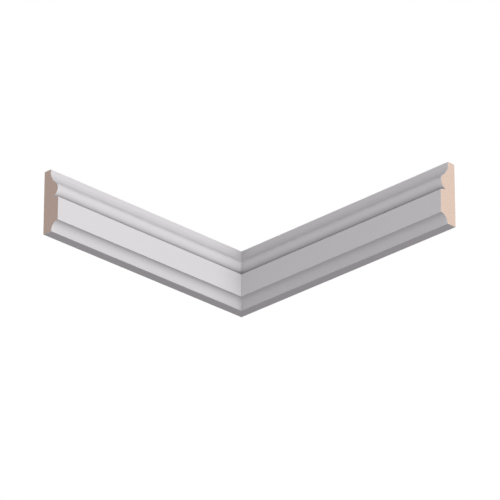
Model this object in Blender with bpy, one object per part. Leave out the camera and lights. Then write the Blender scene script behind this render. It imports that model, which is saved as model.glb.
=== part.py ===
"""Dado moulding that turns an inside corner: two lengths of one section, mitred and glued.

The backs lie on two walls that meet at a right angle, and the underside is level with z = 0.
The right length runs along +X from the corner of the walls, and the left length along -Y.
The origin is the middle of the space that the corner piece takes up, level with its underside.
"""

import math

import bmesh
import bpy
from mathutils import Vector

# The two lengths, measured on the walls from the corner to the cut end
RIGHT_LENGTH = 0.2600
LEFT_LENGTH = 0.2400
GLUE_LINE = 0.0003

# The board that the moulding is cut from
BOARD_HEIGHT = 0.0600
BOARD_DEPTH = 0.0180

# The foot: a short upright fillet, then a quarter cove up to the fascia
FOOT_DEPTH = 0.0100
FOOT_FILLET_HEIGHT = 0.0006

# The quirk: a sunk line between the fascia and the bead
QUIRK_RISE = 0.0021

# The bead: a large half round, just behind the fascia
BEAD_RADIUS = 0.0073
BEAD_SETBACK = 0.0007
BEAD_QUIRK_ANGLE = math.radians(74.0)
BEAD_TOP_ANGLE = math.radians(63.0)

# The hollow over the bead, and the upright fillet at the top
HOLLOW_HEIGHT = 0.0091
HOLLOW_SAG = 0.0007
TOP_FILLET_DEPTH = 0.0081
TOP_FILLET_HEIGHT = 0.0048

# The turn from one flat of an arc to the next, and the turn that is shaded as a sharp edge
ARC_STEP = math.radians(5.0)
SHARP_TURN = math.radians(20.0)

# Finishes: linear red, green and blue, then roughness
PRIMER = ((0.72, 0.715, 0.72), 0.55)
RAW_BOARD = ((0.60, 0.44, 0.34), 0.85)


def arc(centre, radius, start, end):
    """Points (depth, height) on an arc, both ends included, from one angle to the other."""
    steps = max(2, math.ceil(abs(end - start) / ARC_STEP))
    angles = [start + (end - start) * step / steps for step in range(steps + 1)]
    return [
        (centre[0] + radius * math.cos(angle), centre[1] + radius * math.sin(angle))
        for angle in angles
    ]


def hollow_between(lower, upper, sag):
    """Points on the arc from one point up to another that sinks into the board by sag."""
    low, high = Vector(lower), Vector(upper)
    chord = high - low
    radius = chord.length_squared / (8 * sag) + sag / 2
    outward = Vector((chord.y, -chord.x)).normalized()
    centre = (low + high) / 2 + outward * (radius - sag)
    start = math.atan2(low.y - centre.y, low.x - centre.x) % math.tau
    end = math.atan2(high.y - centre.y, high.x - centre.x) % math.tau
    return arc(centre, radius, start, end)


def section():
    """The moulding's outline as (depth from the wall, height), from the foot of its back round the face."""
    cove_radius = BOARD_DEPTH - FOOT_DEPTH
    foot_cove = arc((BOARD_DEPTH, FOOT_FILLET_HEIGHT), cove_radius, math.pi, math.pi / 2)

    top_fillet_foot = BOARD_HEIGHT - TOP_FILLET_HEIGHT
    bead_top = top_fillet_foot - HOLLOW_HEIGHT
    bead_centre = (
        BOARD_DEPTH - BEAD_SETBACK - BEAD_RADIUS,
        bead_top - BEAD_RADIUS * math.sin(BEAD_TOP_ANGLE),
    )
    bead = arc(bead_centre, BEAD_RADIUS, -BEAD_QUIRK_ANGLE, BEAD_TOP_ANGLE)
    fascia_top = bead[0][1] - QUIRK_RISE
    hollow = hollow_between(bead[-1], (TOP_FILLET_DEPTH, top_fillet_foot), HOLLOW_SAG)

    outline = [(0.0, 0.0), (FOOT_DEPTH, 0.0)]
    outline += foot_cove
    outline += [(BOARD_DEPTH, fascia_top)]
    outline += bead
    outline += hollow[1:]
    outline += [(TOP_FILLET_DEPTH, BOARD_HEIGHT), (0.0, BOARD_HEIGHT)]
    return outline


def finish_material(name, finish):
    """A plain material of one finish: its colour and its roughness."""
    colour, roughness = finish
    material = bpy.data.materials.new(name)
    material.use_nodes = True
    surface = material.node_tree.nodes["Principled BSDF"]
    surface.inputs["Base Color"].default_value = (*colour, 1.0)
    surface.inputs["Roughness"].default_value = roughness
    surface.inputs["Metallic"].default_value = 0.0
    return material


def mitred_length(name, length, hand, turn, corner):
    """One length, run along its own wall from the corner, and cut square at the far end.

    hand is 1 for a length that leaves the corner along its own +X, and -1 along -X.
    Depth from the wall is along its own -Y, and turn is its angle about Z.
    """
    mesh = bpy.data.meshes.new(name)
    body = bmesh.new()

    far_end = body.faces.new(
        [body.verts.new((hand * length, -depth, height)) for depth, height in section()]
    )
    swept = bmesh.ops.extrude_face_region(body, geom=[far_end], use_keep_orig=True)
    setback = GLUE_LINE / 2 * math.sqrt(2)
    for vertex in [item for item in swept["geom"] if isinstance(item, bmesh.types.BMVert)]:
        # The mitre runs out from the corner at 45 degrees, so it starts later by the depth
        vertex.co.x = hand * (setback - vertex.co.y)
    bmesh.ops.recalc_face_normals(body, faces=body.faces)

    for face in body.faces:
        # Raw board shows on the back and on the two sawn ends, whose outline has many corners
        raw = face.normal.y > 0.5 or len(face.verts) > 4
        face.material_index = 1 if raw else 0
    body.to_mesh(mesh)
    body.free()

    mesh.materials.append(finish_material(name + "_primer", PRIMER))
    mesh.materials.append(finish_material(name + "_raw_board", RAW_BOARD))
    mesh.shade_smooth()
    mesh.set_sharp_from_angle(angle=SHARP_TURN)

    part = bpy.data.objects.new(name, mesh)
    part.location = corner
    part.rotation_euler = (0.0, 0.0, turn)
    bpy.context.scene.collection.objects.link(part)
    return part


for leftover in list(bpy.data.objects):
    bpy.data.objects.remove(leftover)

wall_corner = (-RIGHT_LENGTH / 2, LEFT_LENGTH / 2, 0.0)
mitred_length("right_length", RIGHT_LENGTH, 1, 0.0, wall_corner)
mitred_length("left_length", LEFT_LENGTH, -1, math.pi / 2, wall_corner)
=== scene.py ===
import math

import bmesh
import bpy
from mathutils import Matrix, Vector


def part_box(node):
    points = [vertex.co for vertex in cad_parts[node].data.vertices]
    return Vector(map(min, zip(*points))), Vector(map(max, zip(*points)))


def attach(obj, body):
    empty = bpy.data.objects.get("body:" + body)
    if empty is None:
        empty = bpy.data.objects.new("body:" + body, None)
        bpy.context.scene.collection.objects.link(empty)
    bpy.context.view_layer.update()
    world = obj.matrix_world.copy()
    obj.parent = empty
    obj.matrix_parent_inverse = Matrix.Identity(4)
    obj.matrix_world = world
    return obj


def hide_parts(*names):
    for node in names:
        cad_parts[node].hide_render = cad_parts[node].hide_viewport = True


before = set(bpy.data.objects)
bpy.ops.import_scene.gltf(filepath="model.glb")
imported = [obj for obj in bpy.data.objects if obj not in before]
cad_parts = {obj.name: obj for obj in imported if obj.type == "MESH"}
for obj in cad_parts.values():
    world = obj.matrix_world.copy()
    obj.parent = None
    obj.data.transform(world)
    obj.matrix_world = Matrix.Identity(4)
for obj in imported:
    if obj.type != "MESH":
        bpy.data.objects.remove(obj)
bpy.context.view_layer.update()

# The right length, on the wall to the right of the corner.
# Fibreboard, run through a moulder to one section from end to end and sprayed with white primer,
# then sawn square at its free end and mitred at the corner. Its back and its cuts stay bare board.

left_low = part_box("left_length")[0]
right_low, right_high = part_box("right_length")
WALL_X = left_low.x
WALL_Y = right_high.y
RIGHT_CUT = right_high.x
BOARD_HEIGHT = right_high.z
BOARD_DEPTH = right_high.y - right_low.y

# The section: depths are out from the wall, and heights up from the underside
FOOT_DEPTH = 0.0100
FOOT_FILLET = 0.0006
QUIRK_RISE = 0.0021
BEAD_RADIUS = 0.0073
BEAD_SETBACK = 0.0007
BEAD_QUIRK_ANGLE = math.radians(74.0)
BEAD_TOP_ANGLE = math.radians(63.0)
HOLLOW_HEIGHT = 0.0091
HOLLOW_SAG = 0.0007
TOP_FILLET_DEPTH = 0.0081
TOP_FILLET_HEIGHT = 0.0048
ROUND_STEP = math.radians(2.5)

# What the sander and the primer leave of the corners
EASED_ARRIS = 0.00035
EASED_BACK = 0.00020
FILLED_QUIRK = 0.00018
EASING_STEPS = 8
PRIMER_FILM = 0.00014

# The hairline left open at the mitre
MITRE_GAP = 0.00001

# Points nearer to each other than this are in the same place
SAME_PLACE = 0.00002


def choose(piece, kind, wanted):
    """In edit mode, select only the verts, edges or faces that pass the test."""
    mode = {"verts": "VERT", "edges": "EDGE", "faces": "FACE"}[kind]
    bpy.ops.mesh.select_mode(type=mode)
    bpy.ops.mesh.select_all(action="DESELECT")
    body = bmesh.from_edit_mesh(piece.data)
    for item in getattr(body, kind):
        if wanted(item):
            item.select_set(True)
    bmesh.update_edit_mesh(piece.data)


def draw_line(piece, depth, height):
    """Draw the section on from its selected corner, straight to this depth and height."""
    body = bmesh.from_edit_mesh(piece.data)
    corner = next(vert.co for vert in body.verts if vert.select)
    bpy.ops.mesh.extrude_region_move(
        TRANSFORM_OT_translate={"value": (0.0, WALL_Y - depth - corner.y, height - corner.z)}
    )


def draw_round(centre, turn):
    """Draw the section on round a centre (depth, height); a turn below zero is a hollow."""
    bpy.ops.mesh.spin(
        steps=math.ceil(abs(turn) / ROUND_STEP),
        angle=turn,
        center=(RIGHT_CUT, WALL_Y - centre[0], centre[1]),
        axis=(1.0, 0.0, 0.0),
    )


def ease(piece, corners, width):
    """Round off the section's corners that stand at these depths and heights."""
    def at_corner(vert):
        place = (WALL_Y - vert.co.y, vert.co.z)
        return any(math.dist(place, corner) < SAME_PLACE for corner in corners)

    choose(piece, "verts", at_corner)
    bpy.ops.mesh.bevel(offset=width, segments=EASING_STEPS, affect="VERTICES")


bpy.ops.object.select_all(action="DESELECT")
bpy.ops.mesh.primitive_plane_add(
    size=BOARD_HEIGHT,
    location=(RIGHT_CUT, WALL_Y - BOARD_HEIGHT / 2, BOARD_HEIGHT / 2),
    rotation=(0.0, math.pi / 2, 0.0),
)
right_length = bpy.context.object
right_length.name = "right_length_primed"
bpy.ops.object.transform_apply(location=True, rotation=True, scale=True)
bpy.ops.object.mode_set(mode="EDIT")

# Only the blank's back edge stays, and the section is drawn on from its foot
choose(right_length, "verts", lambda vert: vert.co.y < WALL_Y - BOARD_HEIGHT / 2)
bpy.ops.mesh.delete(type="VERT")
choose(right_length, "verts", lambda vert: vert.co.z < BOARD_HEIGHT / 2)

# The foot and its quarter cove
draw_line(right_length, FOOT_DEPTH, 0.0)
draw_line(right_length, FOOT_DEPTH, FOOT_FILLET)
draw_round((BOARD_DEPTH, FOOT_FILLET), -math.pi / 2)
cove_top = FOOT_FILLET + BOARD_DEPTH - FOOT_DEPTH

# The fascia, the quirk and the bead
top_fillet_foot = BOARD_HEIGHT - TOP_FILLET_HEIGHT
bead_top = top_fillet_foot - HOLLOW_HEIGHT
bead_centre = (
    BOARD_DEPTH - BEAD_SETBACK - BEAD_RADIUS,
    bead_top - BEAD_RADIUS * math.sin(BEAD_TOP_ANGLE),
)
quirk = (
    bead_centre[0] + BEAD_RADIUS * math.cos(BEAD_QUIRK_ANGLE),
    bead_centre[1] - BEAD_RADIUS * math.sin(BEAD_QUIRK_ANGLE),
)
fascia_top = quirk[1] - QUIRK_RISE
draw_line(right_length, BOARD_DEPTH, fascia_top)
draw_line(right_length, *quirk)
draw_round(bead_centre, BEAD_QUIRK_ANGLE + BEAD_TOP_ANGLE)

# The hollow over the bead, and the top fillet
hollow_foot = Vector((bead_centre[0] + BEAD_RADIUS * math.cos(BEAD_TOP_ANGLE), bead_top))
hollow_chord = Vector((TOP_FILLET_DEPTH, top_fillet_foot)) - hollow_foot
hollow_radius = hollow_chord.length_squared / (8 * HOLLOW_SAG) + HOLLOW_SAG / 2
hollow_out = Vector((hollow_chord.y, -hollow_chord.x)).normalized()
hollow_centre = hollow_foot + hollow_chord / 2 + hollow_out * (hollow_radius - HOLLOW_SAG)
hollow_turn = 2 * math.asin(hollow_chord.length / 2 / hollow_radius)
draw_round(hollow_centre, -hollow_turn)
draw_line(right_length, TOP_FILLET_DEPTH, BOARD_HEIGHT)

# The drawing is joined up to the back edge and filled
choose(
    right_length, "verts",
    lambda vert: vert.co.z > BOARD_HEIGHT - SAME_PLACE and len(vert.link_edges) == 1,
)
bpy.ops.mesh.edge_face_add()
bpy.ops.mesh.select_all(action="SELECT")
bpy.ops.mesh.edge_face_add()

# Its corners are eased
ease(right_length, [(FOOT_DEPTH, 0.0), (TOP_FILLET_DEPTH, BOARD_HEIGHT)], EASED_ARRIS)
ease(right_length, [(BOARD_DEPTH, cove_top), (BOARD_DEPTH, fascia_top)], EASED_ARRIS)
ease(right_length, [(0.0, 0.0), (0.0, BOARD_HEIGHT)], EASED_BACK)
ease(right_length, [quirk], FILLED_QUIRK)

# It is run back to the corner, and that end is mitred: turned by 45 degrees, and stretched to fit
mitre_heel = (WALL_X + MITRE_GAP / math.sqrt(2), WALL_Y, 0.0)
bpy.ops.mesh.select_all(action="SELECT")
bpy.ops.mesh.extrude_region_move(
    TRANSFORM_OT_translate={"value": (mitre_heel[0] - RIGHT_CUT, 0.0, 0.0)}
)
bpy.ops.transform.rotate(
    value=-math.pi / 4, orient_axis="Z", orient_type="GLOBAL", center_override=mitre_heel
)
bpy.ops.transform.resize(
    value=(math.sqrt(2), math.sqrt(2), 1.0), orient_type="GLOBAL", center_override=mitre_heel
)
bpy.ops.mesh.select_all(action="SELECT")
bpy.ops.mesh.normals_make_consistent(inside=False)

# A thin line of primer shows all round the sawn end
choose(right_length, "faces", lambda face: face.calc_center_median().x > RIGHT_CUT - SAME_PLACE)
bpy.ops.mesh.inset(thickness=PRIMER_FILM)

# The faces are put in one order, which is otherwise another one from run to run
bpy.ops.mesh.select_all(action="SELECT")
bpy.ops.mesh.sort_elements(type="CURSOR_DISTANCE", elements={"FACE"})
bpy.ops.object.mode_set(mode="OBJECT")

# A second length of the same run is kept for the left wall
bpy.ops.object.duplicate(linked=False)
left_length = bpy.context.object
left_length.name = "left_length_primed"


def new_finish(name):
    """An empty finish, with what its pattern is built from: nodes, links and the shader's sockets."""
    finish = bpy.data.materials.new(name)
    finish.use_nodes = True
    tree = finish.node_tree
    return finish, tree.nodes, tree.links, tree.nodes["Principled BSDF"].inputs


def along_the_run(nodes, links, run, stretch):
    """Places on the piece, plain and squeezed along its run, so that a pattern is drawn out that way."""
    place = nodes.new("ShaderNodeTexCoord").outputs["Object"]
    squeeze = nodes.new("ShaderNodeMapping")
    squeeze.inputs["Scale"].default_value = [1 / stretch if axis == run else 1.0 for axis in "XYZ"]
    links.new(place, squeeze.inputs["Vector"])
    return place, squeeze.outputs["Vector"]


def noise(nodes, links, place, scale, detail, roughness=0.5):
    """Cloudy noise, this many clouds to the metre, read at a place on the piece."""
    cloud = nodes.new("ShaderNodeTexNoise")
    cloud.inputs["Scale"].default_value = scale
    cloud.inputs["Detail"].default_value = detail
    cloud.inputs["Roughness"].default_value = roughness
    links.new(place, cloud.inputs["Vector"])
    return cloud.outputs["Fac"]


def between(nodes, links, value, old, new=(0.0, 1.0)):
    """A value turned from one range to another, and held there."""
    turned = nodes.new("ShaderNodeMapRange")
    for socket, number in zip(turned.inputs[1:5], (*old, *new)):
        socket.default_value = number
    links.new(value, turned.inputs["Value"])
    return turned.outputs["Result"]


def worked(nodes, links, action, first, second):
    """What an action makes of two values, of which the second may be a plain number."""
    result = nodes.new("ShaderNodeMath")
    result.operation = action
    links.new(first, result.inputs[0])
    if isinstance(second, float):
        result.inputs[1].default_value = second
    else:
        links.new(second, result.inputs[1])
    return result.outputs["Value"]


def tinted(nodes, links, share, colours):
    """A colour that runs from the first to the second as the share goes from 0 to 1."""
    tint = nodes.new("ShaderNodeMix")
    tint.data_type = "RGBA"
    links.new(share, tint.inputs["Factor"])
    tint.inputs["A"].default_value = (*colours[0], 1.0)
    tint.inputs["B"].default_value = (*colours[1], 1.0)
    return tint.outputs["Result"]


def raised(nodes, links, pattern, height, below=None):
    """The bump of a pattern, as high as this in metres, laid over the bump below it."""
    bump = nodes.new("ShaderNodeBump")
    bump.inputs["Distance"].default_value = height
    links.new(pattern, bump.inputs["Height"])
    if below:
        links.new(below, bump.inputs["Normal"])
    return bump.outputs["Normal"]


# White primer, sprayed and denibbed: thinner in faint lines where the cutters ran.
# Scales are how many clouds of a pattern lie in a metre, and heights are in metres. A span is the
# range of its noise over which a pattern goes from none to full.
PRIMER_FULL = (0.746, 0.740, 0.746)
PRIMER_THIN = (0.737, 0.729, 0.735)
PRIMER_ROUGHNESS = (0.46, 0.60)
PRIMER_SPECULAR = 0.35
MOTTLE_SCALE = 55.0
MOTTLE_SPAN = (0.3, 0.7)
CUTTER_LINE_SCALE = 620.0
CUTTER_LINE_STRETCH = 18.0
CUTTER_LINE_HEIGHT = 0.000012
THINNESS_SPAN = (0.85, 1.25)
PEEL_SCALE = 1100.0
PEEL_HEIGHT = 0.000010


def primer(name, run):
    """Primer on one length, with its cutter lines along the run."""
    finish, nodes, links, surface = new_finish(name)
    place, drawn_out = along_the_run(nodes, links, run, CUTTER_LINE_STRETCH)
    mottle = noise(nodes, links, place, MOTTLE_SCALE, detail=3.0)
    lines = noise(nodes, links, drawn_out, CUTTER_LINE_SCALE, detail=3.0, roughness=0.6)
    peel = noise(nodes, links, place, PEEL_SCALE, detail=2.0)
    thinness = between(nodes, links, worked(nodes, links, "ADD", mottle, lines), THINNESS_SPAN)
    links.new(tinted(nodes, links, thinness, (PRIMER_FULL, PRIMER_THIN)), surface["Base Color"])
    links.new(between(nodes, links, mottle, MOTTLE_SPAN, PRIMER_ROUGHNESS), surface["Roughness"])
    lined = raised(nodes, links, lines, CUTTER_LINE_HEIGHT)
    links.new(raised(nodes, links, peel, PEEL_HEIGHT, lined), surface["Normal"])
    surface["Specular IOR Level"].default_value = PRIMER_SPECULAR
    return finish


# Bare fibreboard where the saw went through: pinkish tan, with short fibres and faint saw marks
SAWN_ROUGHNESS = 0.92
SAWN_SPECULAR = 0.20
FIBRE_SCALE = 1500.0
FIBRE_HEIGHT = 0.000045
CLUMP_SCALE = 700.0
DARK_SPAN = (0.75, 1.25)
SAW_MARK_SCALE = 286.0
SAW_MARK_WANDER = 2.5
SAW_MARK_DETAIL = 2.0
SAW_MARK_HEIGHT = 0.000012


def sawn_board(name, pale, dark):
    """A sawn end, mottled from its pale to its dark colour."""
    finish, nodes, links, surface = new_finish(name)
    place = nodes.new("ShaderNodeTexCoord").outputs["Object"]
    fibres = noise(nodes, links, place, FIBRE_SCALE, detail=5.0, roughness=0.75)
    clumps = noise(nodes, links, place, CLUMP_SCALE, detail=3.0)
    darkness = between(nodes, links, worked(nodes, links, "ADD", fibres, clumps), DARK_SPAN)
    links.new(tinted(nodes, links, darkness, (pale, dark)), surface["Base Color"])
    marks = nodes.new("ShaderNodeTexWave")
    marks.bands_direction = "Z"
    marks.inputs["Scale"].default_value = SAW_MARK_SCALE
    marks.inputs["Distortion"].default_value = SAW_MARK_WANDER
    marks.inputs["Detail Scale"].default_value = SAW_MARK_DETAIL
    links.new(place, marks.inputs["Vector"])
    marked = raised(nodes, links, marks.outputs["Fac"], SAW_MARK_HEIGHT)
    links.new(raised(nodes, links, fibres, FIBRE_HEIGHT, marked), surface["Normal"])
    surface["Roughness"].default_value = SAWN_ROUGHNESS
    surface["Specular IOR Level"].default_value = SAWN_SPECULAR
    return finish


# Bare fibreboard on the back, sanded smooth, with a mist of primer along its two long edges
BACK_PALE = (0.660, 0.520, 0.425)
BACK_DARK = (0.600, 0.462, 0.370)
BACK_DARK_SPAN = (1.2, 1.8)
BACK_ROUGHNESS = 0.80
BACK_SPECULAR = 0.25
BACK_FIBRE_SCALE = 1300.0
SANDING_SCALE = 900.0
SANDING_STRETCH = 12.0
SANDING_HEIGHT = 0.000015
CLOUD_SCALE = 45.0
MIST_SCALE = 800.0
MIST_REACH = 0.0035
MIST_BUILD_UP = (-0.35, 0.55)
MIST_SPAN = (0.55, 0.75)


def board_back(name, run):
    """The back of one length, sanded along the run."""
    finish, nodes, links, surface = new_finish(name)
    place, drawn_out = along_the_run(nodes, links, run, SANDING_STRETCH)
    fibres = noise(nodes, links, place, BACK_FIBRE_SCALE, detail=5.0, roughness=0.7)
    sanding = noise(nodes, links, drawn_out, SANDING_SCALE, detail=3.0)
    clouds = noise(nodes, links, place, CLOUD_SCALE, detail=3.0)
    mixed = worked(nodes, links, "ADD", worked(nodes, links, "ADD", fibres, sanding), clouds)
    darkness = between(nodes, links, mixed, BACK_DARK_SPAN)

    # The mist thickens from its reach out to the edge, where it is broken up into drops
    height = nodes.new("ShaderNodeSeparateXYZ")
    links.new(place, height.inputs["Vector"])
    off_middle = worked(nodes, links, "SUBTRACT", height.outputs["Z"], BOARD_HEIGHT / 2)
    from_middle = worked(nodes, links, "ABSOLUTE", off_middle, 0.0)
    mist_band = (BOARD_HEIGHT / 2 - MIST_REACH, BOARD_HEIGHT / 2)
    nearness = between(nodes, links, from_middle, mist_band, MIST_BUILD_UP)
    drops = noise(nodes, links, place, MIST_SCALE, detail=4.0, roughness=0.7)
    mist = between(nodes, links, worked(nodes, links, "ADD", drops, nearness), MIST_SPAN)

    misted = nodes.new("ShaderNodeMix")
    misted.data_type = "RGBA"
    links.new(mist, misted.inputs["Factor"])
    links.new(tinted(nodes, links, darkness, (BACK_PALE, BACK_DARK)), misted.inputs["A"])
    misted.inputs["B"].default_value = (*PRIMER_FULL, 1.0)
    links.new(misted.outputs["Result"], surface["Base Color"])
    links.new(raised(nodes, links, sanding, SANDING_HEIGHT), surface["Normal"])
    surface["Roughness"].default_value = BACK_ROUGHNESS
    surface["Specular IOR Level"].default_value = BACK_SPECULAR
    return finish


PRIMED, SAWN, BACK = 0, 1, 2
CREASE_ANGLE = math.radians(13.0)


def finish_of(face):
    """Primer on what the sprayer reached; bare board on the sawn end, the mitre and the back."""
    if len(face.vertices) > 4:
        return SAWN
    if face.center.y > WALL_Y - EASED_BACK / 2 or face.center.x < WALL_X + EASED_BACK / 2:
        return BACK
    return PRIMED


def finish_piece(piece, finishes):
    """Give each face its finish, and smooth the rounds and eased corners with the flats kept flat."""
    for finish in finishes:
        piece.data.materials.append(finish)
    for face in piece.data.polygons:
        face.material_index = finish_of(face)
    bpy.ops.object.select_all(action="DESELECT")
    piece.select_set(True)
    bpy.context.view_layer.objects.active = piece
    bpy.ops.object.shade_smooth_by_angle(angle=CREASE_ANGLE)
    flats = piece.modifiers.new("flats", "WEIGHTED_NORMAL")
    flats.keep_sharp = True
    bpy.ops.object.modifier_apply(modifier=flats.name)


# The right sawn end's colours: the board's own, made a touch paler as painted light.
RIGHT_SAWN_PALE = (0.785, 0.627, 0.516)
RIGHT_SAWN_DARK = (0.665, 0.517, 0.418)

right_primer = primer("primer_right", "X")
right_sawn = sawn_board("sawn_end_right", RIGHT_SAWN_PALE, RIGHT_SAWN_DARK)
right_back = board_back("board_back_right", "X")
finish_piece(right_length, (right_primer, right_sawn, right_back))
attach(right_length, "root")
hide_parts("right_length")

# The left length, on the wall to the left of the corner.
# The same run of moulding: mitred the other way, sawn off shorter, and glued to the right length
# along the mitre. Its sawn end is coloured darker than the right one's, which is painted shade.

LEFT_CUT = left_low.y
WALL_CORNER = (WALL_X, WALL_Y, 0.0)
# The left sawn end's colours are the same board darkened as painted shade, not a darker board.
LEFT_SAWN_PALE_PAINTED_SHADE = (0.700, 0.552, 0.465)
LEFT_SAWN_DARK_PAINTED_SHADE = (0.591, 0.456, 0.379)

bpy.ops.object.select_all(action="DESELECT")
left_length.select_set(True)
bpy.context.view_layer.objects.active = left_length
bpy.ops.object.mode_set(mode="EDIT")
bpy.ops.mesh.select_all(action="SELECT")
bpy.ops.transform.mirror(
    orient_type="GLOBAL", constraint_axis=(True, False, False), center_override=WALL_CORNER
)
bpy.ops.transform.rotate(
    value=-math.pi / 2, orient_axis="Z", orient_type="GLOBAL", center_override=WALL_CORNER
)

# It reaches as far as the right length until its sawn end is moved back to the cut
sawn_at = WALL_Y - (RIGHT_CUT - WALL_X)
choose(left_length, "verts", lambda vert: vert.co.y < sawn_at + SAME_PLACE)
bpy.ops.transform.translate(value=(0.0, LEFT_CUT - sawn_at, 0.0))
bpy.ops.mesh.select_all(action="SELECT")
bpy.ops.mesh.normals_make_consistent(inside=False)
bpy.ops.object.mode_set(mode="OBJECT")

left_primer = primer("primer_left", "Y")
left_sawn_painted_shade = sawn_board("sawn_end_left_painted_shade", LEFT_SAWN_PALE_PAINTED_SHADE, LEFT_SAWN_DARK_PAINTED_SHADE)
left_back = board_back("board_back_left", "Y")
finish_piece(left_length, (left_primer, left_sawn_painted_shade, left_back))
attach(left_length, "root")
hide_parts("left_length")

# The studio floor: a pale sheet that the moulding lies on, with a faint glow of its own.
# It shows from above alone, because the camera looks up from below it as in the photograph,
# and it takes shadows but throws none and lights nothing.

FLOOR_WIDTH = 14.0
FLOOR_DROP = 0.0004
FLOOR_PALE = (0.46, 0.46, 0.46)
FLOOR_SHADED = (0.44, 0.44, 0.44)
FLOOR_CLOUD_SCALE = 0.6
FLOOR_ROUGHNESS = 0.9
FLOOR_GLOW = 0.68

bpy.ops.mesh.primitive_plane_add(size=FLOOR_WIDTH, location=(0.0, 0.0, -FLOOR_DROP))
floor = bpy.context.object
floor.name = "studio_floor"
floor_sheet, nodes, links, surface = new_finish("pale_floor")
place = nodes.new("ShaderNodeTexCoord").outputs["Object"]
floor_clouds = noise(nodes, links, place, FLOOR_CLOUD_SCALE, detail=2.0)
links.new(tinted(nodes, links, floor_clouds, (FLOOR_PALE, FLOOR_SHADED)), surface["Base Color"])
surface["Roughness"].default_value = FLOOR_ROUGHNESS
surface["Emission Color"].default_value = (1.0, 1.0, 1.0, 1.0)
surface["Emission Strength"].default_value = FLOOR_GLOW
one_sided = nodes.new("ShaderNodeMixShader")
links.new(nodes.new("ShaderNodeNewGeometry").outputs["Backfacing"], one_sided.inputs["Fac"])
links.new(nodes["Principled BSDF"].outputs["BSDF"], one_sided.inputs[1])
links.new(nodes.new("ShaderNodeBsdfTransparent").outputs["BSDF"], one_sided.inputs[2])
links.new(one_sided.outputs["Shader"], nodes["Material Output"].inputs["Surface"])
floor.data.materials.append(floor_sheet)
floor.visible_diffuse = False
floor.visible_glossy = False
floor.visible_shadow = False

# The studio lights: six soft boxes, all facing the moulding from 3 m off.
# The key lights the left face and a tall strip the right face. Two low boxes light the underside
# and the coves, a high box lights the hollows, and one behind the corner the backs and the tops.

SOFTBOX_REACH = 3.0
SOFTBOX_SIDE = 1.0
STRIP_WIDTH = 0.8
STRIP_HEIGHT = 5.0
PLAIN_WHITE = (1.0, 0.985, 1.0)
LILAC_WHITE = (1.0, 0.91, 0.945)


def softbox(name, bearing, rise, power, colour, width=SOFTBOX_SIDE, height=SOFTBOX_SIDE):
    """A soft light that faces the moulding; its bearing is from +X towards +Y, in degrees."""
    data = bpy.data.lights.new(name, "AREA")
    data.shape = "RECTANGLE"
    data.size = width
    data.size_y = height
    data.energy = power
    data.color = colour
    light = bpy.data.objects.new(name, data)
    bpy.context.scene.collection.objects.link(light)
    turn = math.radians(bearing)
    tilt = math.radians(rise)
    away = Vector((math.cos(turn) * math.cos(tilt), math.sin(turn) * math.cos(tilt), math.sin(tilt)))
    light.location = away * SOFTBOX_REACH
    light.rotation_euler = away.to_track_quat("Z", "Y").to_euler()


softbox("key_box", bearing=0.0, rise=0.0, power=54.0, colour=PLAIN_WHITE)
softbox(
    "front_strip", bearing=-65.0, rise=0.0, power=46.0, colour=PLAIN_WHITE,
    width=STRIP_WIDTH, height=STRIP_HEIGHT,
)
softbox("low_box_right", bearing=0.0, rise=-45.0, power=12.5, colour=LILAC_WHITE)
softbox("low_box_front", bearing=-90.0, rise=-45.0, power=10.5, colour=LILAC_WHITE)
softbox("high_box", bearing=-45.0, rise=45.0, power=10.5, colour=LILAC_WHITE)
softbox("back_box", bearing=135.0, rise=40.0, power=62.0, colour=PLAIN_WHITE)

# The surround: plain white to look at, and a faint cool glow on the moulding.
# Light isn't passed on from face to face, which keeps the quirk and the coves as dark as they are
# in the photograph, and the colours are shown as they are, with no film look over them.

GLOW_COLOUR = (0.95, 0.95, 1.0)
GLOW_STRENGTH = 0.13

surround = bpy.data.worlds.new("studio_surround")
bpy.context.scene.world = surround
surround.use_nodes = True
nodes, links = surround.node_tree.nodes, surround.node_tree.links
backdrop = nodes["Background"]
backdrop.inputs["Color"].default_value = (1.0, 1.0, 1.0, 1.0)
glow = nodes.new("ShaderNodeBackground")
glow.inputs["Color"].default_value = (*GLOW_COLOUR, 1.0)
glow.inputs["Strength"].default_value = GLOW_STRENGTH
seen = nodes.new("ShaderNodeMixShader")
links.new(nodes.new("ShaderNodeLightPath").outputs["Is Camera Ray"], seen.inputs["Fac"])
links.new(glow.outputs["Background"], seen.inputs[1])
links.new(backdrop.outputs["Background"], seen.inputs[2])
links.new(seen.outputs["Shader"], nodes["World Output"].inputs["Surface"])
bpy.context.scene.cycles.diffuse_bounces = 0
bpy.context.scene.view_settings.view_transform = "Standard"

# The camera: below the moulding and in front of its corner, looking up, as in the photograph.
# Its bearing is how far it stands round from straight in front of the right wall. It aims a little
# to the right of the foot of the walls' corner, and a board's height above that.

CAMERA_BEARING = math.radians(45.07)
CAMERA_RISE = math.radians(25.64)
CAMERA_REACH = 3.939
CAMERA_LENS = 317.4
SENSOR_WIDTH = 36.0
AIM_RIGHT = 0.00762
AIM_UP = 0.06019

forward = Vector((
    -math.sin(CAMERA_BEARING) * math.cos(CAMERA_RISE),
    math.cos(CAMERA_BEARING) * math.cos(CAMERA_RISE),
    math.sin(CAMERA_RISE),
))
rightward = Vector((math.cos(CAMERA_BEARING), math.sin(CAMERA_BEARING), 0.0))
upward = rightward.cross(forward)
aim = Vector(WALL_CORNER) + rightward * AIM_RIGHT + upward * AIM_UP
bpy.ops.object.camera_add(location=aim - forward * CAMERA_REACH)
camera = bpy.context.object
camera.name = "camera"
camera.rotation_mode = "QUATERNION"
camera.rotation_quaternion = forward.to_track_quat("-Z", "Y")
camera.data.lens = CAMERA_LENS
camera.data.sensor_width = SENSOR_WIDTH
bpy.context.scene.camera = camera
